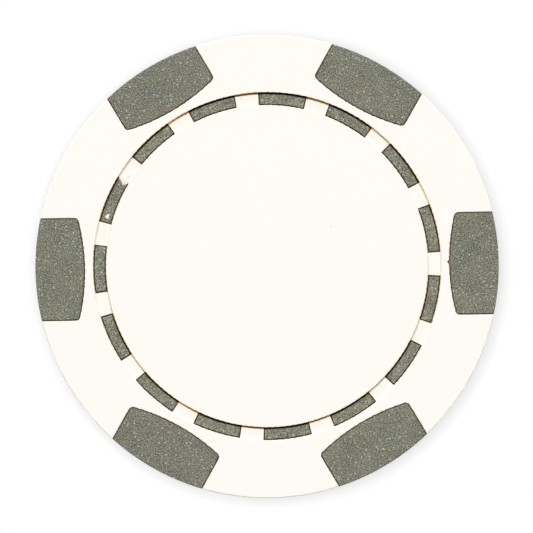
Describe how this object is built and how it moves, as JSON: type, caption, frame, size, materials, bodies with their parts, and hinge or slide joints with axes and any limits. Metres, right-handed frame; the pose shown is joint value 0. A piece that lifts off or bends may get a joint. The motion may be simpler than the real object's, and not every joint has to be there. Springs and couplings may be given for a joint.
{
  "type": "poker chip",
  "caption": "Round flat game chip with grey edge stripes and dashed rings set in a cream moulded body over a steel slug; it stacks on its rims.",
  "frame": {"origin": "centre of the chip on the plane of its back rim, the plane it rests on", "axes": "+Z is the chip's axis, from the back face to the front face; +X runs through the middle of edge_stripe_1, and the stripes count anticlockwise seen from the front"},
  "size_m": [0.039, 0.039, 0.0033],
  "materials": {
    "white_plastic": "fine matt moulded cream white",
    "grey_plastic": "matt moulded warm grey with a fine fleck",
    "slug_steel": "bare stamped sheet steel"
  },
  "bodies": {
    "root": {"steel_slug": "slug_steel", "front_dash_ring": "grey_plastic", "back_dash_ring": "grey_plastic", "edge_stripe_1": "grey_plastic", "edge_stripe_2": "grey_plastic", "edge_stripe_3": "grey_plastic", "edge_stripe_4": "grey_plastic", "edge_stripe_5": "grey_plastic", "edge_stripe_6": "grey_plastic", "white_body": "white_plastic"}
  },
  "joints": []
}
